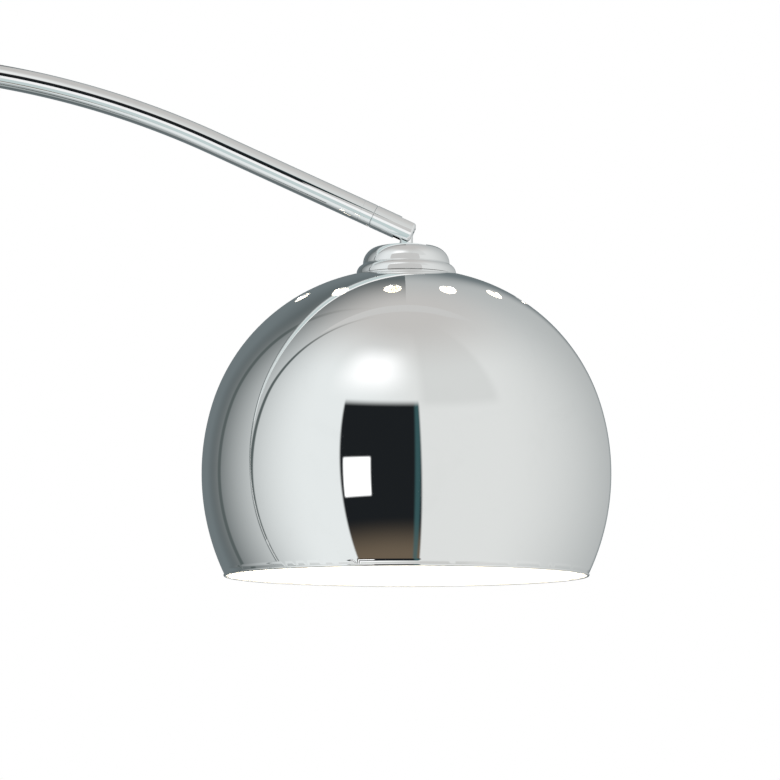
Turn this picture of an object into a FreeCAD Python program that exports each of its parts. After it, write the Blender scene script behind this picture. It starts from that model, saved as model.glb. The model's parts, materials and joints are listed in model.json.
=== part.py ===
# Arc floor lamp: a round stone base, a straight column, a bent arm that slides and turns in
# the column's top, and a domed metal shade that hangs from the arm's end on a tilting knuckle.
#
# Frame: the origin is the centre of the base's underside, +Z is up and the arm bends over
# towards +X. Lengths are in millimetres and angles in degrees.

import FreeCAD, Part
import os
import re
import Sketcher

Vector = FreeCAD.Vector
Rotation = FreeCAD.Rotation

# ---------------------------------------------------------------- driving dimensions

DIMENSIONS = {
    # the whole lamp
    "overall_height": 2000, "arc_radius": 720, "droop": 24.9, "straight_run": 133,
    # base
    "slab_radius": 150, "slab_height": 55, "slab_round": 6, "felt_radius": 145,
    "felt_thickness": 2, "column_offset": 95, "stud_radius": 6, "stud_hole": 6.6,
    "stud_clear": 3, "stud_grip": 25, "recess_radius": 19, "recess_depth": 18,
    "washer_radius": 17, "washer_thickness": 2.5, "nut_radius": 10.4, "nut_height": 10,
    "flange_radius": 30, "flange_height": 9, "flange_web": 3, "plug_length": 45,
    # column
    "column_radius": 14, "column_wall": 1.5, "joiner_reach": 35, "joiner_wall": 3,
    "bead_height": 4, "bead_round": 4, "inlet_height": 150, "inlet_bore": 3.6,
    "bush_radius": 5.5, "bush_flange": 8, "bush_thickness": 2.4,
    # height adjustment
    "slide_up": 100, "slide_down": 100, "liner_length": 100, "liner_flange": 2,
    "foot_bush_height": 20, "foot_bush_lip": 2, "stop_gap": 5.5,
    "collar_radius": 19, "collar_height": 42, "collar_lip": 3, "collar_round": 2,
    "clamp_drop": 20, "clamp_radius": 4, "boss_radius": 8.5, "boss_reach": 26, "boss_root": 1,
    "pad_gap": 0.35, "pad_length": 2.5, "knob_radius": 16, "knob_thickness": 13,
    "knob_gap": 3, "knob_grip": 8, "knob_flutes": 8, "flute_radius": 3.4, "grub_radius": 2,
    # arm
    "arm_radius": 9.5, "arm_wall": 1.2, "sleeve_length": 60, "sleeve_wall": 1.5,
    # knuckle
    "ring_length": 10.5, "seam_round": 0.4, "fork_length": 35.3, "fork_round": 2.6, "pin_inset": 6,
    "pin_radius": 2.5, "pin_head": 4, "pin_head_depth": 2.4, "pin_skin": 2, "slot_width": 10,
    "slot_depth": 14, "spigot_radius": 5.5, "spigot_length": 29, "spigot_bore": 2.8,
    "groove_depth": 1, "groove_width": 4.6, "grub_inset": 20, "plug_reach": 25,
    "tongue_thickness": 8, "stem_radius": 5.4, "wireway": 2.2,
    "friction_radius": 5, "friction_thickness": 0.9,
    # cap on the shade
    "cap_drop": 11.2, "cap_height": 25.5, "cap_wall": 1.2, "cap_radius": 40.4,
    "cap_crown": 115, "cap_flat": 26, "cap_shoulder": 14, "cap_waist": 35.2,
    "cap_waist_depth": 16.2, "cap_roll": 7.6,
    # shade
    "shade_radius": 164.9, "side_arc": 188.5, "crown_arc": 153.6, "shoulder_angle": 16.8,
    "equator_height": 83.7, "shade_wall": 1, "vent_ring": 98, "vent_radius": 7,
    "vent_count": 14, "vent_turn": 6.3,
    # lampholder and bulb
    "nipple_radius": 5, "nipple_bore": 3.6, "nipple_grip": 12, "hex_radius": 9.8,
    "hex_height": 4, "seat_radius": 9.7, "seat_thickness": 1.5, "collar_stem": 8,
    "holder_radius": 20, "holder_cap": 22, "holder_neck": 9, "holder_body": 31,
    "holder_wall": 3, "shell_radius": 14.2, "shell_wall": 0.5, "shell_length": 23,
    "contact_radius": 4, "contact_height": 2, "tip_height": 2, "bulb_base_radius": 13.2,
    "bulb_base_length": 25, "bulb_radius": 30, "bulb_length": 74, "glass_wall": 1,
    # clearances
    "push_fit": 0.02, "running_fit": 0.08, "face_gap": 0.3, "loose_fit": 0.5,
}

doc = FreeCAD.newDocument("arc_floor_lamp")
sheet = doc.addObject("Spreadsheet::Sheet", "dims")
for row, (alias, size) in enumerate(DIMENSIONS.items(), start=1):
    sheet.set(f"A{row}", str(size))
    sheet.setAlias(f"A{row}", alias)
doc.recompute()

# ---------------------------------------------------------------- places worked out from them

COLUMN_X = "(-column_offset)"
SLAB_TOP = "(felt_thickness + slab_height)"
COLUMN_FOOT = f"({SLAB_TOP} + flange_web)"
COLUMN_BORE = "(column_radius - column_wall)"
ARC_START = "(overall_height - arc_radius - arm_radius)"
COLUMN_TOP = f"({ARC_START} - slide_down - stop_gap)"
SECTION = f"(({COLUMN_TOP} - {COLUMN_FOOT}) / 3)"
CLAMP_Z = f"({COLUMN_TOP} - clamp_drop)"
ARM_FOOT = f"({COLUMN_TOP} - liner_length - slide_up - foot_bush_height - stop_gap)"
ARM_BORE = "(arm_radius - arm_wall)"
SWEEP = "(90 + droop)"
FORK_START = "(ring_length + face_gap)"
FORK_END = f"({FORK_START} + fork_length)"
PIN_REACH = f"(straight_run + {FORK_END} - pin_inset)"
GROOVE_Z = f"({FORK_END} - grub_inset)"

# heights below the knuckle's pin
CAP_TOP = "(-cap_drop)"
CAP_BASE = "(-cap_drop - cap_height)"
SIDE_X = "(shade_radius - side_arc)"
CROWN_X = f"({SIDE_X} + (side_arc - crown_arc) * cos(shoulder_angle * 1deg))"
CROWN_RISE = "(equator_height + (side_arc - crown_arc) * sin(shoulder_angle * 1deg))"
SKIRT_INSET = f"(cap_radius - cap_wall - {CROWN_X})"
CAP_SEAT = f"({CROWN_RISE} + sqrt(crown_arc * crown_arc - {SKIRT_INSET}^2))"
MOUTH = f"({CAP_BASE} - {CAP_SEAT} - push_fit)"
CROWN_TOP = f"({MOUTH} + {CROWN_RISE} + crown_arc)"
STEM_BASE = f"({CROWN_TOP} + hex_height)"
NIPPLE_TOP = f"({STEM_BASE} + nipple_grip)"
SEAT_TOP = f"({CROWN_TOP} - shade_wall)"
HOLDER_TOP = f"({SEAT_TOP} - seat_thickness - hex_height)"
BODY_TOP = f"({HOLDER_TOP} - holder_cap)"
CONTACT_TOP = f"({BODY_TOP} - holder_wall)"
TIP_TOP = f"({CONTACT_TOP} - contact_height)"
BULB_TOP = f"({TIP_TOP} - tip_height)"
GLASS_TOP = f"({BULB_TOP} - bulb_base_length)"
BULB_CENTRE = f"({GLASS_TOP} - bulb_length + bulb_radius)"

LEFT, RIGHT = 1, -1
ALONG = {"x": Vector(1, 0, 0), "y": Vector(0, 1, 0), "-x": Vector(-1, 0, 0), "z": Vector(0, 0, 1)}
UP = Vector(0, 0, 1)

subparts = []


# ---------------------------------------------------------------- helpers

def bound(text):
    """The expression with each dimension's name pointing at its cell in the sheet."""
    def cell(found):
        return f"dims.{found[0]}" if found[0] in DIMENSIONS else found[0]
    return re.sub(r"[a-z_]+", cell, str(text))


def value(text):
    return FreeCAD.Units.Quantity(sheet.evalExpression(bound(text))).Value


def bind(part, **sizes):
    """Ties properties of a part to the sheet."""
    for name, text in sizes.items():
        part.setExpression(name, bound(text))


def stand_at(part, x="0", y="0", z="0"):
    for axis, text in zip("xyz", (x, y, z)):
        part.setExpression(f"Placement.Base.{axis}", bound(text))


def keep(part, label):
    """Names a finished sub-part, so that it is written out."""
    part.Label = label
    subparts.append(part)
    return part


def new_body(name):
    return doc.addObject("PartDesign::Body", name)


def new_sketch(body, name, role):
    plane = next(item for item in body.Origin.OriginFeatures if item.Role == role)
    sketch = body.newObject("Sketcher::SketchObject", name)
    sketch.AttachmentSupport = [(plane, "")]
    sketch.MapMode = "FlatFace"
    return sketch


def fix_point(sketch, geometry, end, x, y):
    """Holds a sketch point at an expression's place."""
    for kind, text, axis in (("DistanceX", x, -2), ("DistanceY", y, -1)):
        if text == "0":
            sketch.addConstraint(Sketcher.Constraint("PointOnObject", geometry, end, axis))
            continue
        rule = Sketcher.Constraint(kind, -1, 1, geometry, end, value(text))
        index = sketch.addConstraint(rule)
        sketch.setExpression(f"Constraints[{index}]", bound(text))


def fix_radius(sketch, geometry, text):
    index = sketch.addConstraint(Sketcher.Constraint("Radius", geometry, value(text)))
    sketch.setExpression(f"Constraints[{index}]", bound(text))


def arc_between(first, last, radius, side):
    """The short arc of a circle whose centre lies to one side of the way from first to last."""
    chord = last - first
    reach = (radius ** 2 - (chord.Length / 2) ** 2) ** 0.5
    across = Vector(-chord.y, chord.x, 0) / chord.Length * side
    centre = (first + last) / 2 + across * reach
    middle = centre - across * radius
    return Part.Arc(first, middle, last)


def outline_sketch(body, name, role, outline):
    """A closed outline of (x, y) or (x, y, arc radius, side of its centre) corners."""
    sketch = new_sketch(body, name, role)
    points = [Vector(value(corner[0]), value(corner[1]), 0) for corner in outline]
    ends = []
    for index, corner in enumerate(outline):
        first, last = points[index], points[(index + 1) % len(points)]
        if len(corner) == 2:
            geometry = sketch.addGeometry(Part.LineSegment(first, last))
            ends.append((geometry, 1, 2))
            continue
        geometry = sketch.addGeometry(arc_between(first, last, value(corner[2]), corner[3]))
        forward = sketch.getPoint(geometry, 1).distanceToPoint(first) < 1e-6
        ends.append((geometry, 1, 2) if forward else (geometry, 2, 1))
    for index, (geometry, start, end) in enumerate(ends):
        following, next_start, _ = ends[(index + 1) % len(ends)]
        sketch.addConstraint(Sketcher.Constraint("Coincident", geometry, end, following, next_start))
        fix_point(sketch, geometry, start, outline[index][0], outline[index][1])
    for (geometry, _, _), corner in zip(ends, outline):
        if len(corner) == 4:
            fix_radius(sketch, geometry, corner[2])
    return sketch


def circles_sketch(body, name, role, circles):
    """Circles given as (x, y, radius)."""
    sketch = new_sketch(body, name, role)
    for x, y, radius in circles:
        circle = Part.Circle(Vector(value(x), value(y), 0), UP, value(radius))
        geometry = sketch.addGeometry(circle)
        fix_point(sketch, geometry, 3, x, y)
        fix_radius(sketch, geometry, radius)
    return sketch


def turned(name, outline):
    """A body turned about its own Z axis from an outline of (radius, height) corners."""
    body = new_body(name)
    revolution = body.newObject("PartDesign::Revolution", f"{name}_turn")
    revolution.Profile = outline_sketch(body, f"{name}_outline", "XZ_Plane", outline)
    revolution.ReferenceAxis = (revolution.Profile[0], ["V_Axis"])
    revolution.Angle = 360
    return body


def ring(name, outer, inner, bottom, top):
    """A plain turned ring or tube."""
    return turned(name, [(inner, bottom), (outer, bottom), (outer, top), (inner, top)])


def pocket(body, sketch, reach, both_ways=False, backward=False):
    """Cuts a sketch's outline out of a body."""
    doc.recompute()
    before = body.Shape.Volume
    cut = body.newObject("PartDesign::Pocket", f"{sketch.Name}_pocket")
    cut.Profile = sketch
    cut.SideType = "Symmetric" if both_ways else "One side"
    cut.Reversed = backward
    bind(cut, Length=reach)
    doc.recompute()
    assert body.Shape.Volume < before, f"{sketch.Name} cuts nothing"
    return cut


def around(body, feature, count):
    """Repeats a feature evenly about the body's Z axis."""
    pattern = body.newObject("PartDesign::PolarPattern", f"{feature.Name}_pattern")
    pattern.Originals = [feature]
    axis = next(item for item in body.Origin.OriginFeatures if item.Role == "Z_Axis")
    pattern.Axis = (axis, [""])
    pattern.Angle = 360
    bind(pattern, Occurrences=count)
    body.Tip = pattern
    return pattern


def rod(name, radius, length, axis="z", x="0", y="0", z="0"):
    """A cylinder that starts at a point and runs along an axis."""
    cylinder = doc.addObject("Part::Cylinder", name)
    bind(cylinder, Radius=radius, Height=length)
    cylinder.Placement.Rotation = Rotation(UP, ALONG[axis])
    stand_at(cylinder, x, y, z)
    return cylinder


def through_rod(name, radius, length, axis, x="0", z="0"):
    """A cylinder along X or Y with its middle at a point."""
    start = {"x": (f"{x} - {length} / 2", "0"), "y": (x, f"-{length} / 2")}[axis]
    return rod(name, radius, length, axis, start[0], start[1], z)


def hexagon(name, radius, height, z):
    prism = doc.addObject("Part::Prism", name)
    prism.Polygon = 6
    bind(prism, Circumradius=radius, Height=height)
    stand_at(prism, z=z)
    return prism


def slab_box(name, length, width, height, x, y, z):
    """A box given by its sizes and its lowest corner."""
    box = doc.addObject("Part::Box", name)
    bind(box, Length=length, Width=width, Height=height)
    stand_at(box, x, y, z)
    return box


def fused(name, pieces):
    fuse = doc.addObject("Part::MultiFuse", name)
    fuse.Shapes = pieces
    return fuse


def cut_out(name, blank, tools):
    """A blank less its tools."""
    cut = doc.addObject("Part::Cut", name)
    cut.Base = blank
    cut.Tool = tools[0] if len(tools) == 1 else fused(f"{name}_tools", tools)
    return cut


def grouped(name, pieces):
    """Separate solids that share one node."""
    group = doc.addObject("Part::Compound", name)
    group.Links = pieces
    return group


def on_column(part, z="0"):
    stand_at(part, x=COLUMN_X, z=z)
    return part


def on_arm(part, sweep, run="0"):
    """Stands a part on the arm's centre line, its Z axis along the arm."""
    part.Placement.Rotation = Rotation(Vector(0, 1, 0), value(sweep))
    bind(part, **{"Placement.Rotation.Angle": f"({sweep}) * 1deg"})
    turn = f"(({sweep}) * 1deg)"
    x = f"{COLUMN_X} + arc_radius * (1 - cos{turn}) + {run} * sin{turn}"
    z = f"{ARC_START} + arc_radius * sin{turn} + {run} * cos{turn}"
    stand_at(part, x=x, z=z)
    return part


def on_pin(part):
    """Stands a part at the knuckle's pin, upright."""
    x = f"{COLUMN_X} + arc_radius * (1 + sin(droop * 1deg)) + {PIN_REACH} * cos(droop * 1deg)"
    z = f"{ARC_START} + arc_radius * cos(droop * 1deg) - {PIN_REACH} * sin(droop * 1deg)"
    stand_at(part, x=x, z=z)
    return part


# ---------------------------------------------------------------- base and column

def make_base():
    """Stone slab on felt; a stud through the slab holds the column down."""
    felt = rod("base_felt", "felt_radius", "felt_thickness")
    keep(felt, "base_felt")
    blank = turned("slab_blank", [
        ("0", "felt_thickness"), ("slab_radius", "felt_thickness"),
        ("slab_radius", f"{SLAB_TOP} - slab_round", "slab_round", LEFT),
        ("slab_radius - slab_round", SLAB_TOP), ("0", SLAB_TOP)])
    hole = rod("slab_hole", "stud_hole", "2 * slab_height", x=COLUMN_X)
    recess = rod("slab_recess", "recess_radius", "recess_depth", x=COLUMN_X, z="felt_thickness")
    keep(cut_out("slab", blank, [hole, recess]), "base_slab")
    stud_foot = "(felt_thickness + stud_clear)"
    stud = rod("stud", "stud_radius", f"{SLAB_TOP} + stud_grip - {stud_foot}", z=stud_foot)
    keep(on_column(stud, stud_foot), "base_stud")


def make_base_fasteners():
    ceiling = "(felt_thickness + recess_depth)"
    washer = ring("washer", "washer_radius", "stud_radius + push_fit", "0", "washer_thickness")
    keep(on_column(washer, f"{ceiling} - washer_thickness"), "base_washer")
    blank = hexagon("nut_blank", "nut_radius", "nut_height", "0")
    bore = rod("nut_bore", "stud_radius + push_fit", "nut_height")
    nut = cut_out("nut", blank, [bore])
    keep(on_column(nut, f"{ceiling} - washer_thickness - nut_height"), "base_nut")


def make_column_foot():
    plug_radius = f"{COLUMN_BORE} - push_fit"
    wall = "column_radius + push_fit"
    flange = turned("flange", [
        (COLUMN_BORE, "0"), ("flange_radius", "0"),
        ("flange_radius", "flange_height / 3", "flange_height / 3", LEFT),
        ("flange_radius - flange_height / 3", "flange_height * 2 / 3"),
        ("column_radius + flange_height / 2", "flange_height * 2 / 3", "flange_height / 3", RIGHT),
        ("column_radius + flange_height / 6", "flange_height"),
        (wall, "flange_height"), (wall, "flange_web"), (COLUMN_BORE, "flange_web")])
    keep(on_column(flange, SLAB_TOP), "foot_flange")
    bore = "stud_radius + push_fit"
    depth = "stud_grip + stud_clear"
    plug = turned("plug", [
        (bore, "0"), (plug_radius, "0"), (plug_radius, "plug_length"), ("0", "plug_length"),
        ("0", depth), (bore, depth)])
    keep(on_column(plug, SLAB_TOP), "column_foot_plug")


def make_column_tubes():
    """Three lengths of tube; each seam holds a joiner with a bead between the tubes."""
    inlet = rod("inlet_hole", "bush_radius + push_fit", "2 * column_radius", "-x",
                z=f"inlet_height - {COLUMN_FOOT}")
    clamp = rod("clamp_hole", "clamp_radius + loose_fit", "2 * column_radius", "-x",
                z=f"{CLAMP_Z} - {COLUMN_FOOT} - 2 * {SECTION}")
    cuts = {"column_lower": [inlet], "column_middle": [], "column_upper": [clamp]}
    for place, (name, tools) in enumerate(cuts.items()):
        top = f"{SECTION} - bead_height" if place < 2 else SECTION
        tube = ring(f"{name}_tube", "column_radius", COLUMN_BORE, "0", top)
        if tools:
            tube = cut_out(f"{name}_drilled", tube, tools)
        keep(on_column(tube, f"{COLUMN_FOOT} + {place} * {SECTION}"), name)


def make_column_joiners():
    outer = f"{COLUMN_BORE} - push_fit"
    bore = f"{COLUMN_BORE} - joiner_wall"
    for place, name in enumerate(("column_joiner_lower", "column_joiner_upper"), start=1):
        joiner = turned(f"{name}_turned", [
            (bore, "-joiner_reach"), (outer, "-joiner_reach"), (outer, "-bead_height"),
            ("column_radius", "-bead_height", "bead_round", LEFT), ("column_radius", "0"),
            (outer, "0"), (outer, "joiner_reach"), (bore, "joiner_reach")])
        keep(on_column(joiner, f"{COLUMN_FOOT} + {place} * {SECTION}"), name)


def make_cord_bush():
    """Snap-in bush that lines the hole where the supply lead enters the column."""
    flange_edge = "(bush_thickness / 2)"
    lip = "(bush_radius + bush_thickness / 4)"
    inside = "(-2 * column_wall)"
    bush = turned("bush", [
        ("inlet_bore", f"{inside} - bush_thickness / 2"), (lip, f"{inside} - bush_thickness / 2"),
        (lip, inside), ("bush_radius", inside), ("bush_radius", "0"), ("bush_flange", "0"),
        ("bush_flange", flange_edge, flange_edge, LEFT),
        (f"bush_flange - {flange_edge}", "bush_thickness"), ("inlet_bore", "bush_thickness")])
    bush.Placement.Rotation = Rotation(UP, ALONG["-x"])
    stand_at(bush, x=f"{COLUMN_X} - column_radius", z="inlet_height")
    keep(bush, "cord_bush")


# ---------------------------------------------------------------- height clamp

def make_collar():
    """Collar on the column's top: a lip holds the liner down, a boss carries the clamp screw."""
    bore = "column_radius + push_fit"
    lip_bore = "arm_radius + loose_fit"
    lip_base = "(liner_flange + 2 * face_gap)"
    top = f"({lip_base} + collar_lip)"
    blank = turned("collar_blank", [
        (bore, f"{top} - collar_height"), ("collar_radius - collar_round", f"{top} - collar_height",
         "collar_round", LEFT),
        ("collar_radius", f"{top} - collar_height + collar_round"),
        ("collar_radius", f"{top} - collar_round", "collar_round", LEFT),
        ("collar_radius - collar_round", top), (lip_bore, top), (lip_bore, lip_base),
        (bore, lip_base)])
    boss = rod("collar_boss", "boss_radius", "boss_reach - column_radius - boss_root", "-x",
               x="-column_radius - boss_root", z="-clamp_drop")
    screw_hole = rod("collar_screw_hole", "clamp_radius", "2 * boss_reach", "-x", z="-clamp_drop")
    grub_hole = through_rod("collar_grub_hole", "grub_radius + push_fit", "(3 * collar_radius)",
                            "y", z="-clamp_drop")
    collar = cut_out("collar", fused("collar_body", [blank, boss]), [screw_hole, grub_hole])
    keep(on_column(collar, COLUMN_TOP), "column_collar")


def make_collar_screws():
    length = "(collar_radius - column_radius - face_gap)"
    near = rod("grub_near", "grub_radius", length, "y", y=f"-column_radius - {length}")
    far = rod("grub_far", "grub_radius", length, "y", y="column_radius")
    keep(on_column(grouped("collar_screws", [near, far]), CLAMP_Z), "collar_grub_screws")


def make_clamp():
    """The knob's screw pushes a soft pad through the column's wall onto the liner."""
    pad_start = f"({COLUMN_BORE} - running_fit + pad_gap)"
    screw_start = f"({pad_start} + pad_length)"
    knob_start = "(boss_reach + knob_gap)"
    pad = rod("pad", "clamp_radius - face_gap", "pad_length", "-x",
              x=f"{COLUMN_X} - {pad_start}", z=CLAMP_Z)
    keep(pad, "clamp_pad")
    screw = rod("screw", "clamp_radius - running_fit", f"{knob_start} + knob_grip - {screw_start}",
                "-x", x=f"{COLUMN_X} - {screw_start}", z=CLAMP_Z)
    keep(screw, "clamp_screw")
    socket = "clamp_radius - running_fit + push_fit"
    knob = turned("knob", [
        (socket, "0"), ("knob_radius * 0.6", "0"), ("knob_radius * 0.65", "knob_thickness * 0.2"),
        ("knob_radius - collar_round", "knob_thickness * 0.25", "collar_round", LEFT),
        ("knob_radius", "knob_thickness * 0.25 + collar_round"),
        ("knob_radius", "knob_thickness - collar_round", "collar_round", LEFT),
        ("knob_radius - collar_round", "knob_thickness"), ("0", "knob_thickness"),
        ("0", "knob_grip"), (socket, "knob_grip")])
    flute = circles_sketch(knob, "flute", "XY_Plane", [
        ("knob_radius + flute_radius * 0.4", "0", "flute_radius")])
    around(knob, pocket(knob, flute, "3 * knob_thickness", both_ways=True), "knob_flutes")
    knob.Placement.Rotation = Rotation(UP, ALONG["-x"])
    stand_at(knob, x=f"{COLUMN_X} - {knob_start}", z=CLAMP_Z)
    keep(knob, "clamp_knob")


def make_liner():
    """Nylon sleeve that turns in the column while the arm slides through it."""
    outer = f"{COLUMN_BORE} - running_fit"
    bore = "arm_radius + running_fit"
    rim = "column_radius - loose_fit"
    top = "face_gap + liner_flange"
    liner = turned("liner", [
        (bore, "-liner_length"), (outer, "-liner_length"), (outer, "face_gap"),
        (rim, "face_gap"), (rim, top), (bore, top)])
    keep(on_column(liner, COLUMN_TOP), "guide_liner")


# ---------------------------------------------------------------- arm

def tube_sketch(body, outer, inner):
    """The arm's ring section, with the bend's axis as a construction line."""
    circles = [("0", "0", outer), ("0", "0", inner)]
    section = circles_sketch(body, f"{body.Name}_section", "XY_Plane", circles)
    reach = value("arc_radius")
    line = Part.LineSegment(Vector(reach, -1, 0), Vector(reach, 1, 0))
    axis = section.addGeometry(line, True)
    fix_point(section, axis, 1, "arc_radius", "-arm_radius")
    fix_point(section, axis, 2, "arc_radius", "arm_radius")
    return section


def arm_section(name, back="0", bend=None, ahead="0", reverse=False):
    """A stretch of the arm's tube: straight behind, bent, or straight ahead of its origin."""
    body = new_body(name)
    section = tube_sketch(body, "arm_radius", ARM_BORE)
    for length, backward in ((back, True), (ahead, False)):
        if length != "0":
            pad = body.newObject("PartDesign::Pad", f"{name}_pad")
            pad.Profile = section
            pad.Reversed = backward
            bind(pad, Length=length)
            doc.recompute()
    bent = body.newObject("PartDesign::Revolution", f"{name}_bend")
    bent.Profile = section
    bent.ReferenceAxis = (section, ["Axis0"])
    bent.Reversed = reverse
    bind(bent, Angle=f"({bend}) * 1deg")
    return body


def make_arm_tubes():
    third = f"({SWEEP} / 3)"
    tail = f"{ARC_START} - {ARM_FOOT}"
    keep(on_arm(arm_section("lower_tube", back=tail, bend=third), "0"), "arm_lower")
    keep(on_arm(arm_section("middle_tube", bend=third), third), "arm_middle")
    upper = arm_section("upper_tube", ahead="straight_run", bend=third, reverse=True)
    keep(on_arm(upper, SWEEP), "arm_upper")


def make_arm_sleeves():
    """Bent sleeves inside the arm's two seams."""
    outer = f"({ARM_BORE} - push_fit)"
    half_turn = "(sleeve_length / 2 / arc_radius * 180 / pi)"
    for place, name in enumerate(("arm_sleeve_lower", "arm_sleeve_upper"), start=1):
        body = new_body(f"{name}_bent")
        section = tube_sketch(body, outer, f"{outer} - sleeve_wall")
        bend = body.newObject("PartDesign::Revolution", f"{name}_bend")
        bend.Profile = section
        bend.ReferenceAxis = (section, ["Axis0"])
        bind(bend, Angle=f"2 * {half_turn} * 1deg")
        keep(on_arm(body, f"({place} * {SWEEP} / 3 - {half_turn})"), name)


def make_arm_foot_bush():
    """Nylon bush on the arm's foot; it meets the liner when the arm is fully up."""
    outer = f"{COLUMN_BORE} - face_gap"
    bore = "arm_radius + push_fit"
    lip_bore = f"{ARM_BORE} - sleeve_wall"
    bush = turned("foot_bush", [
        (lip_bore, "-foot_bush_lip"), (outer, "-foot_bush_lip"), (outer, "foot_bush_height"),
        (bore, "foot_bush_height"), (bore, "0"), (lip_bore, "0")])
    keep(on_column(bush, ARM_FOOT), "arm_foot_bush")


def make_arm_end():
    """Plug in the arm's end, whose grooved spigot carries the knuckle, and the ring on it."""
    plug = f"{ARM_BORE} - push_fit"
    groove = "spigot_radius - groove_depth"
    groove_low = f"{GROOVE_Z} - groove_width / 2"
    groove_high = f"{GROOVE_Z} + groove_width / 2"
    body = turned("end_plug", [
        ("spigot_bore", "-plug_reach"), (plug, "-plug_reach"), (plug, "0"), ("spigot_radius", "0"),
        ("spigot_radius", groove_low), (groove, groove_low), (groove, groove_high),
        ("spigot_radius", groove_high), ("spigot_radius", "spigot_length"),
        ("spigot_bore", "spigot_length")])
    keep(on_arm(body, SWEEP, "straight_run"), "arm_end_plug")
    bore = "spigot_radius + push_fit"
    edge = "arm_radius - seam_round"
    far = "ring_length - seam_round"
    body = turned("ring_blank", [
        (bore, "0"), (edge, "0"), ("arm_radius", "seam_round"), ("arm_radius", far),
        (edge, "ring_length"), (bore, "ring_length")])
    keep(on_arm(body, SWEEP, "straight_run"), "knuckle_ring")


# ---------------------------------------------------------------- knuckle

def make_fork():
    """Fork that turns on the spigot; the slot takes the tongue and the pin crosses it."""
    bore = "spigot_radius + running_fit"
    wire_bore = "spigot_radius - groove_depth"
    shoulder = "spigot_length + face_gap"
    edge = "arm_radius - seam_round"
    blank = turned("fork_blank", [
        (bore, FORK_START), (edge, FORK_START), ("arm_radius", f"{FORK_START} + seam_round"),
        ("arm_radius", f"{FORK_END} - fork_round", "fork_round", LEFT),
        ("arm_radius - fork_round", FORK_END), (wire_bore, FORK_END), (wire_bore, shoulder),
        (bore, shoulder)])
    width = "(3 * arm_radius)"
    slot = slab_box("fork_slot", width, "slot_width", width, "-1.5 * arm_radius",
                    "-slot_width / 2", f"{FORK_END} - slot_depth")
    pin_z = f"{FORK_END} - pin_inset"
    pin_hole = rod("fork_pin_hole", "pin_radius + push_fit", "2 * arm_radius", "y",
                   y="pin_skin - arm_radius", z=pin_z)
    head_hole = rod("fork_head_hole", "pin_head + push_fit", "arm_radius", "y",
                    y="arm_radius - pin_head_depth - loose_fit", z=pin_z)
    grub_hole = rod("fork_grub_hole", "grub_radius + push_fit", width, "x", z=GROOVE_Z)
    tools = [slot, pin_hole, head_hole, grub_hole]
    keep(on_arm(cut_out("fork", blank, tools), SWEEP, "straight_run"), "knuckle_fork")
    tip = "(spigot_radius - groove_depth + face_gap)"
    grub = rod("knuckle_grub", "grub_radius", f"arm_radius - face_gap - {tip}", "x", x=tip,
               z=GROOVE_Z)
    keep(on_arm(grouped("knuckle_grub_place", [grub]), SWEEP, "straight_run"),
         "knuckle_grub_screw")


def make_pin():
    head_base = "arm_radius - pin_head_depth - loose_fit"
    pin = turned("pin", [
        ("0", "pin_skin - arm_radius"), ("pin_radius", "pin_skin - arm_radius"),
        ("pin_radius", head_base), ("pin_head", head_base), ("pin_head", "arm_radius - loose_fit"),
        ("0", "arm_radius - loose_fit")])
    pin.Placement.Rotation = Rotation(UP, ALONG["y"])
    keep(on_pin(pin), "pivot_pin")
    bore = "pin_radius + push_fit"
    thick = "friction_thickness"
    outside = "(slot_width / 2)"
    front = ring("washer_front", "friction_radius", bore, f"-{outside}", f"{thick} - {outside}")
    back = ring("washer_back", "friction_radius", bore, f"{outside} - {thick}", outside)
    pair = grouped("washer_pair", [front, back])
    pair.Placement.Rotation = Rotation(UP, ALONG["y"])
    keep(on_pin(pair), "friction_washers")


def make_tongue():
    """Stem with a flat rounded eye for the pin above and a thread for the nipple below."""
    thread = "nipple_radius + push_fit"
    shoulder = f"{CAP_TOP} - cap_wall"
    blank = turned("stem_blank", [
        (thread, STEM_BASE), ("collar_stem", STEM_BASE),
        ("collar_stem", f"{shoulder} - loose_fit"), ("stem_radius * 1.1", shoulder),
        ("stem_radius", shoulder), ("stem_radius", "0"), ("0", "0"), ("0", "-stem_radius"),
        ("wireway", "-stem_radius"), ("wireway", NIPPLE_TOP), (thread, NIPPLE_TOP)])
    eye = through_rod("tongue_eye", "stem_radius", "tongue_thickness", "y")
    hole = through_rod("tongue_hole", "pin_radius + running_fit", "(4 * stem_radius)", "y")
    side = "(2 * stem_radius)"
    flat_base = f"{CAP_TOP} + cap_wall"
    far = slab_box("tongue_far_flat", f"2 * {side}", side, f"2 * {side}", f"-{side}",
                   "tongue_thickness / 2", flat_base)
    near = slab_box("tongue_near_flat", f"2 * {side}", side, f"2 * {side}", f"-{side}",
                    f"-tongue_thickness / 2 - {side}", flat_base)
    wire_exit = rod("tongue_wire_exit", "wireway * 0.8", side, "-x", z="-stem_radius - wireway")
    tongue = cut_out("tongue", fused("tongue_body", [blank, eye]), [hole, far, near, wire_exit])
    keep(on_pin(tongue), "knuckle_tongue")


# ---------------------------------------------------------------- shade

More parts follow.
